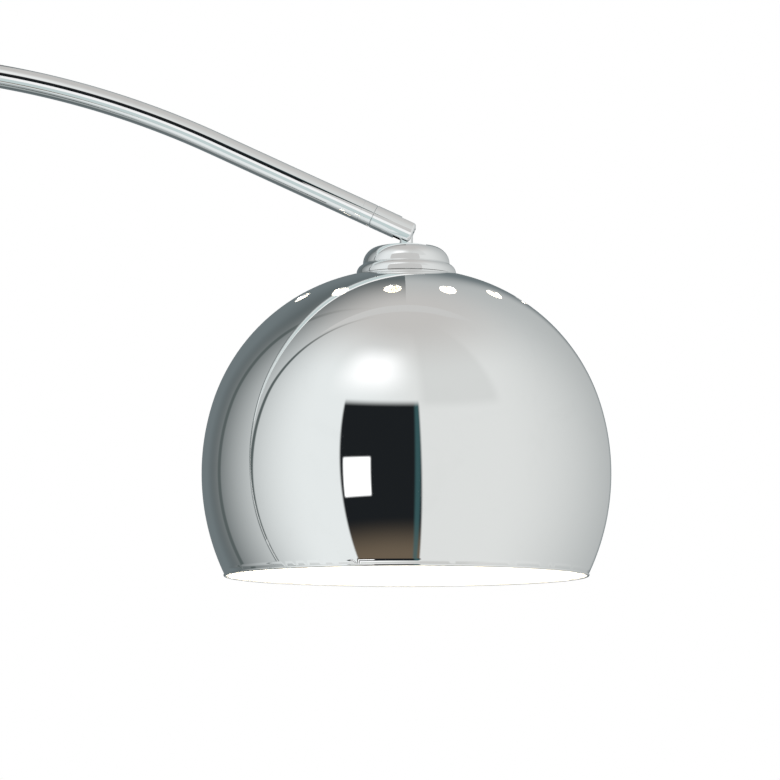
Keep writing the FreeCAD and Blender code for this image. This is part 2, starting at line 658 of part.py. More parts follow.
def make_cap():
    """Pressed cap with a low dome, a shoulder, a waist line and a rolled skirt."""
    flat_depth = "(cap_crown - sqrt(cap_crown * cap_crown - cap_flat * cap_flat))"
    hole = "stem_radius + push_fit * 5"
    waist = f"({CAP_TOP} - cap_waist_depth)"
    skirt = f"({CAP_BASE} + cap_wall)"
    cap = turned("cap", [
        (hole, CAP_TOP), ("stem_radius * 1.1", CAP_TOP, "cap_crown", RIGHT),
        ("cap_flat", f"{CAP_TOP} - {flat_depth}", "cap_shoulder", RIGHT),
        ("cap_waist", waist), ("cap_waist", f"{waist} - cap_wall * 0.6", "cap_roll", RIGHT),
        ("cap_radius", skirt), ("cap_radius", CAP_BASE), ("cap_radius - cap_wall", CAP_BASE),
        ("cap_radius - cap_wall", skirt, "cap_roll", LEFT),
        ("cap_waist - cap_wall", f"{waist} - cap_wall * 1.6"), ("cap_waist - cap_wall", waist,
         "cap_shoulder", LEFT),
        ("cap_flat - cap_wall / 2", f"{CAP_TOP} - {flat_depth} - cap_wall", "cap_crown", LEFT),
        ("stem_radius * 1.1", f"{CAP_TOP} - cap_wall"), (hole, f"{CAP_TOP} - cap_wall")])
    keep(on_pin(cap), "shade_cap")


def make_shade():
    """Spun dome: a flat centre, a crown arc and a side arc that meet tangent, and a vent ring."""
    hole = "nipple_radius + push_fit"
    shoulder_cos = "cos(shoulder_angle * 1deg)"
    shoulder_sin = "sin(shoulder_angle * 1deg)"
    equator = f"({MOUTH} + equator_height)"
    side_in = "(side_arc - shade_wall)"
    mouth_out = f"{SIDE_X} + sqrt(side_arc * side_arc - equator_height * equator_height)"
    mouth_in = f"{SIDE_X} + sqrt({side_in} * {side_in} - equator_height * equator_height)"
    shade = turned("shade", [
        (hole, CROWN_TOP), (CROWN_X, CROWN_TOP, "crown_arc", RIGHT),
        (f"{SIDE_X} + side_arc * {shoulder_cos}", f"{equator} + side_arc * {shoulder_sin}",
         "side_arc", RIGHT),
        (mouth_out, MOUTH), (mouth_in, MOUTH, side_in, LEFT),
        (f"{SIDE_X} + {side_in} * {shoulder_cos}", f"{equator} + {side_in} * {shoulder_sin}",
         "crown_arc - shade_wall", LEFT),
        (CROWN_X, f"{CROWN_TOP} - shade_wall"), (hole, f"{CROWN_TOP} - shade_wall")])
    crown_z = f"({MOUTH} + {CROWN_RISE})"
    sine = f"((vent_ring - {CROWN_X}) / crown_arc)"
    cosine = f"sqrt(1 - {sine} * {sine})"
    near = "(crown_arc - 3 * vent_radius)"
    far = "(crown_arc + 3 * vent_radius)"
    vent = outline_sketch(shade, "vent", "XZ_Plane", [
        (f"{CROWN_X} + {near} * {sine}", f"{crown_z} + {near} * {cosine}"),
        (f"{CROWN_X} + {far} * {sine}", f"{crown_z} + {far} * {cosine}"),
        (f"{CROWN_X} + {far} * {sine} + vent_radius * {cosine}",
         f"{crown_z} + {far} * {cosine} - vent_radius * {sine}"),
        (f"{CROWN_X} + {near} * {sine} + vent_radius * {cosine}",
         f"{crown_z} + {near} * {cosine} - vent_radius * {sine}")])
    doc.recompute()
    groove = shade.newObject("PartDesign::Groove", "vent_cut")
    groove.Profile = vent
    groove.ReferenceAxis = (vent, ["Edge1"])
    groove.Angle = 360
    doc.recompute()
    around(shade, groove, "vent_count")
    shade.Placement.Rotation = Rotation(UP, value("vent_turn"))
    bind(shade, **{"Placement.Rotation.Angle": "vent_turn * 1deg"})
    keep(on_pin(shade), "shade_shell")


# ---------------------------------------------------------------- lampholder and bulb

def make_nipple():
    """Hollow threaded nipple that hangs the shade and the lampholder from the stem."""
    bottom = f"{HOLDER_TOP} - holder_neck"
    nipple = ring("nipple", "nipple_radius", "nipple_bore", bottom, NIPPLE_TOP)
    keep(on_pin(nipple), "shade_nipple")
    nuts = []
    for name, height in (("upper", CROWN_TOP), ("lower", HOLDER_TOP)):
        blank = hexagon(f"hex_{name}", "hex_radius", "hex_height", height)
        bore = rod(f"hex_{name}_bore", "nipple_radius + push_fit", "hex_height", z=height)
        nuts.append(cut_out(f"hex_{name}_nut", blank, [bore]))
    keep(on_pin(grouped("nuts", nuts)), "nipple_nuts")
    seat = ring("seat", "seat_radius", "nipple_radius + push_fit",
                f"{SEAT_TOP} - seat_thickness", SEAT_TOP)
    keep(on_pin(seat), "shade_washer")


def make_lampholder():
    thread = "nipple_radius + push_fit"
    inner = "(holder_radius - holder_wall)"
    cap = turned("holder_top", [
        (thread, HOLDER_TOP), ("holder_neck", HOLDER_TOP),
        ("holder_neck", f"{HOLDER_TOP} - holder_wall"),
        ("holder_radius", f"{HOLDER_TOP} - holder_neck - holder_wall"),
        ("holder_radius", BODY_TOP), (inner, BODY_TOP),
        (inner, f"{HOLDER_TOP} - holder_neck - holder_wall"), (thread, f"{HOLDER_TOP} - holder_neck")])
    keep(on_pin(cap), "lampholder_cap")
    bore = "shell_radius + push_fit"
    foot = f"{BODY_TOP} - holder_body"
    body = turned("holder_body_turned", [
        ("contact_radius / 2", CONTACT_TOP), ("contact_radius / 2", BODY_TOP),
        ("holder_radius", BODY_TOP), ("holder_radius", f"{foot} + holder_wall"),
        (f"{inner} + holder_wall / 3", foot), (bore, foot), (bore, CONTACT_TOP)])
    keep(on_pin(body), "lampholder_body")
    shell = ring("shell", "shell_radius", "shell_radius - shell_wall",
                 f"{CONTACT_TOP} - shell_length", CONTACT_TOP)
    keep(on_pin(shell), "screw_shell")
    stalk = "contact_radius / 2 - push_fit"
    contact = turned("contact", [
        ("0", TIP_TOP), ("contact_radius", TIP_TOP), ("contact_radius", CONTACT_TOP),
        (stalk, CONTACT_TOP), (stalk, BODY_TOP), ("0", BODY_TOP)])
    keep(on_pin(contact), "centre_contact")


def make_bulb():
    tip = rod("tip", "contact_radius", "tip_height")
    keep(on_pin(grouped("tip_place", [tip])), "bulb_contact")
    tip.setExpression("Placement.Base.z", bound(BULB_TOP))
    inner = "(bulb_base_radius - glass_wall)"
    base = turned("base", [
        ("0", f"{BULB_TOP} - glass_wall"), (inner, f"{BULB_TOP} - 4 * glass_wall"),
        (inner, GLASS_TOP), ("bulb_base_radius", GLASS_TOP),
        ("bulb_base_radius", f"{BULB_TOP} - 3 * glass_wall"),
        ("contact_radius", BULB_TOP), ("0", BULB_TOP)])
    keep(on_pin(base), "bulb_base")
    waist = f"({BULB_CENTRE} + bulb_radius * 0.6)"
    glass_in = "(bulb_radius - glass_wall)"
    glass = turned("glass", [
        (inner, GLASS_TOP), ("bulb_base_radius", GLASS_TOP, "bulb_radius * 3", RIGHT),
        ("bulb_radius * 0.8", waist, "bulb_radius", RIGHT),
        ("bulb_radius", BULB_CENTRE, "bulb_radius", RIGHT),
        ("0", f"{BULB_CENTRE} - bulb_radius"),
        ("0", f"{BULB_CENTRE} - {glass_in}", glass_in, LEFT),
        (glass_in, BULB_CENTRE, glass_in, LEFT),
        (f"{glass_in} * 0.8", f"{BULB_CENTRE} + {glass_in} * 0.6", "bulb_radius * 3", LEFT)])
    keep(on_pin(glass), "bulb_glass")


# ---------------------------------------------------------------- build, check and write

def write_parts():
    """Checks every object, then writes one file for each sub-part."""
    failed = [item.Name for item in doc.Objects if {"Invalid", "Error"} & set(item.State)]
    failed += [part.Label for part in subparts if part.Shape.isNull() or not part.Shape.isValid()]
    assert not failed, f"failed: {failed}"
    os.makedirs("parts", exist_ok=True)
    for part in subparts:
        part.Shape.exportStep(f"parts/{part.Label}.step")
        print(f"{part.Label}: {len(part.Shape.Solids)} solid(s), {part.Shape.Volume / 1000:.1f} cm3")


make_base()
make_base_fasteners()
make_column_foot()
make_column_tubes()
make_column_joiners()
make_cord_bush()
make_collar()
make_collar_screws()
make_clamp()
make_liner()
make_arm_tubes()
make_arm_sleeves()
make_arm_foot_bush()
make_arm_end()
make_fork()
make_pin()
make_tongue()
make_cap()
make_shade()
make_nipple()
make_lampholder()
make_bulb()
doc.recompute()
write_parts()
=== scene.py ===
# %% [markdown]
# # An arc floor lamp
# A chrome tube rises from a round stone base, bends over and carries a domed chrome shade on
# a tilting knuckle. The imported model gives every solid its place, and this lesson gives the
# lamp its looks. It starts with the frame, the view and the light, because a polished lamp
# shows nothing but what stands round it.

# %% load the frame
import json
import math
import bpy
from mathutils import Matrix, Vector


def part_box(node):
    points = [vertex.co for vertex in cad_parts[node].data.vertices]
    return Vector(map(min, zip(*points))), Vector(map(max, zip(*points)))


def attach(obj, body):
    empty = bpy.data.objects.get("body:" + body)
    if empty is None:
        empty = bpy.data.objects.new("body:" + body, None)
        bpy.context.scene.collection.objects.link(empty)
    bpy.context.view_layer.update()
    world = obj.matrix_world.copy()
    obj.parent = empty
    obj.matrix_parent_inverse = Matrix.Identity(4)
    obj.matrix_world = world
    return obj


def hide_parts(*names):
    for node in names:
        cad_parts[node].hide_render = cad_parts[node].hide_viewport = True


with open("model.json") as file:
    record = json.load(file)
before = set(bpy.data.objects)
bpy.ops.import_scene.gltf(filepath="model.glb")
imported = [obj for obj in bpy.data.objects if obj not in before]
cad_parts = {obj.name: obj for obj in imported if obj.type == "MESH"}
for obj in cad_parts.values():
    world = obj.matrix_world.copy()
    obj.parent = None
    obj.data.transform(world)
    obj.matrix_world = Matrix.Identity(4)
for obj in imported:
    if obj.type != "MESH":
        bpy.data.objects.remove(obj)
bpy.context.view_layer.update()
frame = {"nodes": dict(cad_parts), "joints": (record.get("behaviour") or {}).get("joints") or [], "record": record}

MM = 0.001
print("nodes:", len(frame["nodes"]))


# %% [markdown]
# The places come from the frame. The pin of the knuckle is the head's tilt joint, the mouth is
# the lowest edge of the shade, and the arc starts where the arm's tube leaves the upright.

# %% places taken from the frame
JOINTS = {joint["name"]: joint for joint in frame["joints"]}
PIN = Vector(JOINTS["head_tilt"]["pos_m"])
ARM_END = Vector(JOINTS["head_turn"]["pos_m"])
ARM_WAY = Vector(JOINTS["head_turn"]["axis"]).normalized()
COLUMN = Vector(JOINTS["arm_swivel"]["pos_m"])
SHADE_LOW, SHADE_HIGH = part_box("shade_shell")
SHADE_AXIS = Vector((PIN.x, PIN.y, 0))
MOUTH = SHADE_LOW.z
SHADE_RADIUS = (SHADE_HIGH.y - SHADE_LOW.y) / 2
print("pin", PIN, "mouth", round(MOUTH, 4), "shade radius", round(SHADE_RADIUS, 4))


# %% [markdown]
# The camera looks slightly up at the shade from just below its mouth, nearly level, with a long
# lens, so the arm runs out of the frame on the left.

# %% the camera
VIEW_DISTANCE = 2.5
VIEW_WIDTH = 0.631
BELOW_MOUTH = math.radians(3.3)
AIM = Vector((PIN.x - 0.0132, 0, MOUTH + 0.1512))

eye = bpy.data.cameras.new("eye")
camera = bpy.data.objects.new("eye", eye)
bpy.context.scene.collection.objects.link(camera)
camera.location = (AIM.x, -VIEW_DISTANCE, MOUTH - VIEW_DISTANCE * math.tan(BELOW_MOUTH))
look = AIM - camera.location
camera.rotation_euler = look.to_track_quat("-Z", "Y").to_euler()
eye.lens = eye.sensor_width * look.length / VIEW_WIDTH
eye.clip_start, eye.clip_end = 0.05, 60
bpy.context.scene.camera = camera
print("lens", round(eye.lens, 1), "mm")


# %% [markdown]
# ## Shader maths as Python
# A material is a graph of nodes. Written by hand in code it is hard to read, so one small class
# wraps a socket and overloads the operators: an expression such as 1 - mask adds its own Math
# node. Any other node comes from the tree's single method.

# %% the wire class
class Wire:
    """A node's output that can be used in arithmetic."""

    def __init__(self, graph, socket):
        self.graph, self.socket = graph, socket

    def maths(self, operation, *values):
        settings = {"operation": operation}
        return self.graph.add("ShaderNodeMath", settings, dict(enumerate(values)))[0]

    def __add__(self, other):
        return self.maths("ADD", self, other)

    __radd__ = __add__

    def __mul__(self, other):
        return self.maths("MULTIPLY", self, other)

    __rmul__ = __mul__

    def __sub__(self, other):
        return self.maths("SUBTRACT", self, other)

    def __rsub__(self, other):
        return self.maths("SUBTRACT", other, self)


class Graph:
    """A node tree that is built by one method."""

    def __init__(self, owner):
        owner.use_nodes = True
        self.tree = owner.node_tree
        self.tree.nodes.clear()

    def add(self, kind, settings=None, sockets=None):
        node = self.tree.nodes.new(kind)
        for name, value in (settings or {}).items():
            if name == "stops":
                self.set_stops(node.color_ramp, value)
            else:
                setattr(node, name, value)
        for name, value in (sockets or {}).items():
            if isinstance(value, Wire):
                self.tree.links.new(value.socket, node.inputs[name])
            else:
                node.inputs[name].default_value = value
        return [Wire(self, output) for output in node.outputs]

    @staticmethod
    def set_stops(ramp, stops):
        while len(ramp.elements) < len(stops):
            ramp.elements.new(1.0)
        for element, (place, colour) in zip(ramp.elements, stops):
            element.position = place
            element.color = (*colour, 1)

    def blend(self, mask, low, high):
        """A mix of two colours."""
        settings = {"data_type": "RGBA", "clamp_factor": True}
        low, high = [value if isinstance(value, Wire) else (*value, 1) for value in (low, high)]
        return self.add("ShaderNodeMix", settings, {0: mask, 6: low, 7: high})[2]

    def ease(self, value, low, high):
        """0 below low and 1 above high, with a smooth step between."""
        settings = {"interpolation_type": "SMOOTHSTEP"}
        return self.add("ShaderNodeMapRange", settings, {0: value, 1: low, 2: high})[0]

    def band(self, value, low, high, soft):
        """1 between low and high, with soft edges."""
        return self.ease(value, low - soft, low + soft) * (1 - self.ease(value, high - soft, high + soft))

    def place(self):
        """The point on the piece, in metres."""
        return self.add("ShaderNodeTexCoord")[3]

    def noise(self, scale, detail=2.0, rough=0.5, warp=0.0, at=None):
        sockets = {"Scale": scale, "Detail": detail, "Roughness": rough, "Distortion": warp}
        sockets["Vector"] = at if at is not None else self.place()
        return self.add("ShaderNodeTexNoise", {}, sockets)[0]


print("wire and graph ready")


# %% [markdown]
# ## The studio
# Polished metal mirrors its surroundings, so the studio is drawn in the world by direction:
# pale walls to both sides that fall off to the rear, with two thin seams on the left, a warm
# ceiling, a cooler floor, and between the walls the dark room behind the camera with one
# softbox in it. The background that the camera sees is plain white.
# Each zone below is given in degrees: turn is counted from the front, to the right, and rise
# is counted up from level.

# %% the studio round the lamp
bpy.context.scene.view_settings.view_transform = "Standard"
studio = bpy.data.worlds.new("studio")
bpy.context.scene.world = studio
room = Graph(studio)

way = room.add("ShaderNodeTexCoord")[0]
across, depth, up = room.add("ShaderNodeSeparateXYZ", {}, {0: way})
turn = across.maths("ARCTAN2", across, 0 - depth) * (180 / math.pi)
rise = up.maths("ARCSINE", up) * (180 / math.pi)

WALL_LEFT, WALL_RIGHT = (0.83, 0.86, 0.86), (0.765, 0.775, 0.765)
FAR_LEFT, FAR_RIGHT = (0.10, 0.118, 0.122), (0.46, 0.48, 0.48)
CEILING, FLOOR_TONE = (0.57, 0.555, 0.54), (0.36, 0.40, 0.40)
SEAM, PANEL, DOOR_EDGE = (0.10, 0.12, 0.12), (0.69, 0.70, 0.69), (0.05, 0.13, 0.14)
DARK_ROOM, ROOM_FLOOR = (0.012, 0.014, 0.016), (0.15, 0.115, 0.08)
SOFTBOX, GLOW, BACK_EDGE = (1.6, 1.6, 1.6), (1.15, 1.15, 1.15), (0.16, 0.19, 0.20)

walls = room.blend(room.ease(turn, -35, 15), WALL_LEFT, WALL_RIGHT)
walls = room.blend(1 - room.ease(turn, -150, -55), walls, FAR_LEFT)
walls = room.blend(room.ease(turn, 50, 175), walls, FAR_RIGHT)
walls = room.blend(room.band(turn, 9, 58, 4) * room.ease(rise, 26, 32), walls, PANEL)
walls = room.blend(room.band(turn, -97, -94.5, 0.6), walls, SEAM)
walls = room.blend(room.band(turn, -131, -127, 1.0), walls, SEAM)
walls = room.blend(room.ease(rise, 42, 82), walls, CEILING)
walls = room.blend(1 - room.ease(rise, -66, -54), walls, FLOOR_TONE)
walls = room.blend(room.band(turn, -42, -6, 14) * room.band(rise, 38, 58, 8), walls, GLOW)
level = room.band(rise, -40, 40, 14)
walls = room.blend((1 - room.ease(turn, -152, -132)) * level, walls, BACK_EDGE)
walls = room.blend(room.ease(turn, 160, 174) * level, walls, BACK_EDGE)
gap = room.band(turn + rise * 0.03, -37, 8, 0.8) * room.band(rise, -54, 30, 2.0)
dark = room.blend(1 - room.ease(rise, -44, -24), DARK_ROOM, ROOM_FLOOR)
dark = room.blend(room.band(turn, 4.5, 7.5, 1.0) * 0.7, dark, DOOR_EDGE)
dark = room.blend(room.band(turn, -35, -20, 0.8) * room.band(rise, -14, 4, 0.8), dark, SOFTBOX)
mirrored = room.blend(gap, walls, dark)

seen = room.add("ShaderNodeLightPath")[0]
shown = room.blend(seen, mirrored, (1, 1, 1))
sky = room.add("ShaderNodeBackground", {}, {"Color": shown, "Strength": 1.0})
room.add("ShaderNodeOutputWorld", {}, {"Surface": sky[0]})
print("studio drawn with", len(studio.node_tree.nodes), "nodes")


# %% the floor and the lights
def bare():
    """Leaves edit mode and selects nothing."""
    if bpy.context.object and bpy.context.object.mode != "OBJECT":
        bpy.ops.object.mode_set(mode="OBJECT")
    bpy.ops.object.select_all(action="DESELECT")


bare()
bpy.ops.mesh.primitive_circle_add(vertices=96, radius=7, fill_type="NGON")
floor = bpy.context.object
floor.name = "studio_floor"
floor.visible_glossy = False
paint = bpy.data.materials.new("studio_floor")
pale = Graph(paint)
tone = pale.blend(pale.noise(3.0), (0.90, 0.90, 0.89), (0.94, 0.94, 0.93))
shader = pale.add("ShaderNodeBsdfPrincipled", {}, {"Base Color": tone, "Roughness": 0.8})
pale.add("ShaderNodeOutputMaterial", {}, {"Surface": shader[0]})
floor.data.materials.append(paint)


def soft_light(name, place, size, watts):
    lamp = bpy.data.lights.new(name, "AREA")
    lamp.shape, lamp.size, lamp.energy = "DISK", size, watts
    item = bpy.data.objects.new(name, lamp)
    bpy.context.scene.collection.objects.link(item)
    item.location = place
    target = Vector((0.4, 0, 1.0))
    item.rotation_euler = (target - item.location).to_track_quat("-Z", "Y").to_euler()
    item.visible_glossy = False
    item.visible_camera = False
    return item


def glowing(item, glow):
    """Makes a stage piece a plain glow that only polished metal sees."""
    item.visible_camera = item.visible_shadow = item.visible_diffuse = False
    paper = bpy.data.materials.new(item.name)
    sheet = Graph(paper)
    light = sheet.add("ShaderNodeEmission", {}, {"Color": (*glow, 1), "Strength": 1.0})
    sheet.add("ShaderNodeOutputMaterial", {}, {"Surface": light[0]})
    item.data.materials.append(paper)


def card(name, middle, size, glow):
    """A glowing card, upright and facing the front."""
    bare()
    bpy.ops.mesh.primitive_plane_add(size=1, location=middle, rotation=(math.pi / 2, 0, 0))
    item = bpy.context.object
    item.name = name
    item.scale = (*size, 1)
    glowing(item, glow)


CAP_CARD_SIZE, CAP_CARD_GLOW = (0.16, 0.12), (0.60, 0.595, 0.585)
card("cap_card", PIN + Vector((-0.01, -0.115, -0.005)), CAP_CARD_SIZE, CAP_CARD_GLOW)
soft_light("key_light", Vector((-1.6, -3.0, 3.6)), 2.2, 60)
soft_light("fill_light", Vector((3.4, -2.4, 2.6)), 2.6, 30)
print("floor and lights ready")


# %% [markdown]
# ## Finishes
# Chrome is a mirror, but a real one is never perfect: fingers leave faint dull patches, cloths
# leave fine arcs, and the plating follows a very slight ripple of the metal below. Those go
# into the roughness and the bump, a little at a time, and never into a strong colour.

# %% polished metals
def output(graph, shader):
    graph.add("ShaderNodeOutputMaterial", {}, {"Surface": shader})


def bump(graph, height, strength, reach=0.001):
    return graph.add("ShaderNodeBump", {}, {"Strength": strength, "Distance": reach, "Height": height})[0]


def new_finish(name):
    finish = bpy.data.materials.new(name)
    return finish, Graph(finish)


def polished(name, light, dark, rough, smudge, ripple):
    """A plated mirror with faint smudges, wiped arcs and a slight ripple."""
    finish, graph = new_finish(name)
    patches = graph.ease(graph.noise(22.0, 5.0, 0.62, 0.8), 0.52, 0.74)
    wiped = graph.ease(graph.noise(260.0, 2.0, 0.5, 2.5), 0.50, 0.80)
    specks = graph.ease(graph.noise(1500.0, 1.0), 0.72, 0.78)
    worn = graph.noise(7.0, 3.0)
    sockets = {
        "Base Color": graph.blend(patches * 0.6 + worn * 0.2, light, dark),
        "Roughness": rough + patches * smudge + wiped * (smudge * 0.25) + specks * (smudge * 0.6),
        "Metallic": 1.0,
        "Normal": bump(graph, graph.noise(30.0, 1.0) + graph.noise(900.0, 2.0) * 0.01, ripple),
    }
    output(graph, graph.add("ShaderNodeBsdfPrincipled", {}, sockets)[0])
    return finish


CHROME = polished("chromed_steel", (0.93, 0.94, 0.945), (0.89, 0.90, 0.905), 0.022, 0.03, 0.006)
SHADE_CHROME = polished("chromed_shade", (0.94, 0.95, 0.95), (0.915, 0.925, 0.925), 0.018, 0.018, 0.004)
print("chrome ready")


# %% plain metals
def machined(name, light, dark, rough, lines):
    """Turned metal: fine rings from the tool and a few darker stains."""
    finish, graph = new_finish(name)
    place = graph.place()
    stretched = graph.add("ShaderNodeMapping", {}, {"Vector": place, "Scale": (60, 60, 2600)})[0]
    rings = graph.noise(1.0, 3.0, 0.6, 0.0, stretched)
    stains = graph.ease(graph.noise(45.0, 4.0, 0.6), 0.48, 0.72)
    sockets = {
        "Base Color": graph.blend(stains * 0.7 + rings * 0.3, light, dark),
        "Roughness": rough + rings * lines + stains * 0.12,
        "Metallic": 1.0,
        "Normal": bump(graph, rings, 0.12, 0.0002),
    }
    output(graph, graph.add("ShaderNodeBsdfPrincipled", {}, sockets)[0])
    return finish


ZINC = machined("zinc_steel", (0.66, 0.67, 0.66), (0.47, 0.47, 0.45), 0.30, 0.16)
BRASS = machined("brass", (0.83, 0.63, 0.29), (0.55, 0.37, 0.15), 0.20, 0.12)
print("plain metals ready")


# %% [markdown]
# The base is black marble, ground and polished. Marble's veins are old cracks filled with
# white mineral: thin where two noise fields cross, cloudy round them, and never repeated.

# %% stone and felt
def marble():
    finish, graph = new_finish("stone_black")
    place = graph.place()
    drift = graph.add("ShaderNodeTexNoise", {}, {"Vector": place, "Scale": 7.0, "Detail": 5.0})[1]
    shift = graph.add("ShaderNodeVectorMath", {"operation": "MULTIPLY_ADD"},
                      {0: drift, 1: (0.16, 0.16, 0.16), 2: place})[0]
    fields = [(5.0, 0.018), (11.0, 0.012), (24.0, 0.010)]
    veins = 0.0
    for scale, width in fields:
        field = graph.noise(scale, 6.0, 0.55, 0.3, shift)
        line = 1 - graph.ease((field - 0.5).maths("ABSOLUTE", field - 0.5), 0.0, width)
        patch = graph.ease(graph.noise(scale * 0.7, 2.0, 0.5, 0.0, place), 0.42, 0.62)
        veins = line * patch + veins
    cloud = graph.ease(graph.noise(9.0, 7.0, 0.65, 0.6, shift), 0.45, 0.80)
    grain = graph.noise(420.0, 3.0, 0.7)
    ground = graph.blend(cloud * 0.8 + grain * 0.1, (0.010, 0.010, 0.011), (0.055, 0.055, 0.06))
    mineral = graph.blend(grain, (0.62, 0.60, 0.56), (0.80, 0.79, 0.76))
    sockets = {
        "Base Color": graph.blend(veins * 0.85, ground, mineral),
        "Roughness": 0.09 + grain * 0.06 + veins * 0.08,
        "IOR": 1.5,
        "Normal": bump(graph, veins * 0.4 + grain * 0.2, 0.05, 0.0003),
    }
    output(graph, graph.add("ShaderNodeBsdfPrincipled", {}, sockets)[0])
    return finish


def felt():
    finish, graph = new_finish("felt")
    fibres = graph.noise(1800.0, 6.0, 0.75, 1.5)
    tufts = graph.noise(160.0, 4.0, 0.6)
    sockets = {
        "Base Color": graph.blend(fibres, (0.012, 0.012, 0.013), (0.085, 0.083, 0.080)),
        "Roughness": 0.85 + tufts * 0.15,
        "Sheen Weight": 0.5,
        "Normal": bump(graph, fibres * 0.6 + tufts * 0.4, 0.7, 0.0006),
    }
    output(graph, graph.add("ShaderNodeBsdfPrincipled", {}, sockets)[0])
    return finish


MARBLE, FELT = marble(), felt()
print("stone and felt ready")


# %% plastics and paint
def moulded(name, light, dark, rough, spread, grain_size, depth, coat=0.0):
    """A moulded or sprayed skin: slow colour drift and a fine surface grain."""
    finish, graph = new_finish(name)
    drift = graph.noise(25.0, 3.0)
    grain = graph.noise(grain_size, 3.0, 0.6)
    rubbed = graph.ease(graph.noise(60.0, 4.0, 0.6, 0.6), 0.55, 0.75)
    sockets = {
        "Base Color": graph.blend(drift * 0.7 + grain * 0.3, light, dark),
        "Roughness": rough + grain * spread - rubbed * (spread * 0.5),
        "Coat Weight": coat,
        "Normal": bump(graph, grain, depth, 0.0003),
    }
    output(graph, graph.add("ShaderNodeBsdfPrincipled", {}, sockets)[0])
    return finish


NYLON = moulded("nylon", (0.84, 0.82, 0.77), (0.74, 0.71, 0.65), 0.42, 0.15, 700.0, 0.15)
BLACK_PLASTIC = moulded("black_plastic", (0.022, 0.022, 0.024), (0.045, 0.045, 0.046), 0.34, 0.22,
                        1600.0, 0.35)
PHENOLIC = moulded("phenolic", (0.74, 0.70, 0.62), (0.82, 0.79, 0.72), 0.18, 0.10, 350.0, 0.08, 0.3)
FIBRE = moulded("fibre", (0.36, 0.12, 0.07), (0.24, 0.07, 0.04), 0.70, 0.20, 1100.0, 0.4)
WHITE_ENAMEL = moulded("white_enamel", (0.93, 0.92, 0.89), (0.90, 0.885, 0.85), 0.36, 0.12, 420.0, 0.06, 0.2)
print("plastics and enamel ready")


# %% [markdown]
# The bulb is lit. Opal glass glows evenly, a little warmer and dimmer towards the neck, so its
# emission varies in colour only, and one strength is set on the shader itself.

# %% opal glass
def opal():
    finish, graph = new_finish("opal_glass")
    height = graph.add("ShaderNodeSeparateXYZ", {}, {0: graph.place()})[2]
    low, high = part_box("bulb_glass")
    neck = graph.ease(height, low.z + (high.z - low.z) * 0.35, high.z)
    cloud = graph.noise(90.0, 3.0)
    sockets = {
        "Base Color": graph.blend(cloud, (0.93, 0.92, 0.89), (0.97, 0.96, 0.94)),
        "Roughness": 0.32 + cloud * 0.12,
        "Emission Color": graph.blend(neck, (1.0, 0.93, 0.82), (1.0, 0.80, 0.58)),
        "Emission Strength": 26.0,
        "Normal": bump(graph, cloud, 0.05, 0.0003),
    }
    output(graph, graph.add("ShaderNodeBsdfPrincipled", {}, sockets)[0])
    return finish


OPAL = opal()
FINISHES = {
    "stone_black": MARBLE, "felt": FELT, "zinc_steel": ZINC, "chromed_steel": CHROME,
    "chromed_shade": SHADE_CHROME, "nylon": NYLON, "black_plastic": BLACK_PLASTIC,
    "phenolic": PHENOLIC, "fibre": FIBRE, "brass": BRASS, "opal_glass": OPAL,
}
for part in frame["record"]["subparts"]:
    node = frame["nodes"][part["node"]]
    node.data.materials.clear()
    node.data.materials.append(FINISHES[part["material_slot"]])
print("finishes on", len(frame["nodes"]), "nodes")


# %% [markdown]
# ## Shapes that are mirrors need smooth meshes
# A faceted tube shows as a broken reflection, so the large polished pieces are made again,
# much finer, on the same sizes. Each one starts as a primitive. A turned piece is one point
# that is extruded along its outline and spun about its axis, as on a lathe.

# %% a lathe
UP = Vector((0, 0, 1))


def point_at(place):
    """Starts a mesh with a single selected point."""
    bare()
    bpy.ops.mesh.primitive_plane_add(size=0.01)
    bpy.ops.object.mode_set(mode="EDIT")
    bpy.ops.mesh.merge(type="CENTER")
    bpy.ops.transform.translate(value=place)
    return bpy.context.object


def close_up():
    """Merges doubles and turns the faces outwards."""
    bpy.ops.mesh.select_all(action="SELECT")
    bpy.ops.mesh.remove_doubles(threshold=1e-6)
    bpy.ops.mesh.normals_make_consistent(inside=False)
    bpy.ops.object.mode_set(mode="OBJECT")


def lathe(name, outline, axis_at, steps=160, axis=UP, out=Vector((1, 0, 0))):
    """Spins an outline of (radius, height) pairs about an axis through a point."""
    places = [axis_at + out * radius + axis * height for radius, height in outline]
    piece = point_at(places[0])
    for before, after in zip(places, places[1:]):
        bpy.ops.mesh.extrude_region_move(TRANSFORM_OT_translate={"value": after - before})
    bpy.ops.mesh.select_all(action="SELECT")
    bpy.ops.mesh.spin(steps=steps, angle=math.tau, center=axis_at, axis=axis)
    close_up()
    piece.name = piece.data.name = name
    return piece


def arc(centre, radius, first, last, count):
    """Points on an arc, between two angles in degrees above the horizontal."""
    angles = [math.radians(first + (last - first) * step / count) for step in range(count + 1)]
    return [(centre[0] + radius * math.cos(a), centre[1] + radius * math.sin(a)) for a in angles]


def finished(piece, body, node, material, sharp=28):
    """Smooths a piece, gives it its finish and lets it stand for its node."""
    low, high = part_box(node)
    places = [vertex.co for vertex in piece.data.vertices]
    gaps = [max(abs(min(p[i] for p in places) - low[i]), abs(max(p[i] for p in places) - high[i]))
            for i in range(3)]
    print(piece.name, "is within", round(max(gaps) / MM, 2), "mm of its node's box")
    bare()
    piece.select_set(True)
    bpy.context.view_layer.objects.active = piece
    bpy.ops.object.shade_smooth_by_angle(angle=math.radians(sharp))
    if not piece.data.materials:
        piece.data.materials.append(material)
    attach(piece, body)
    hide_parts(node)
    print(piece.name, len(piece.data.polygons), "faces")
    return piece


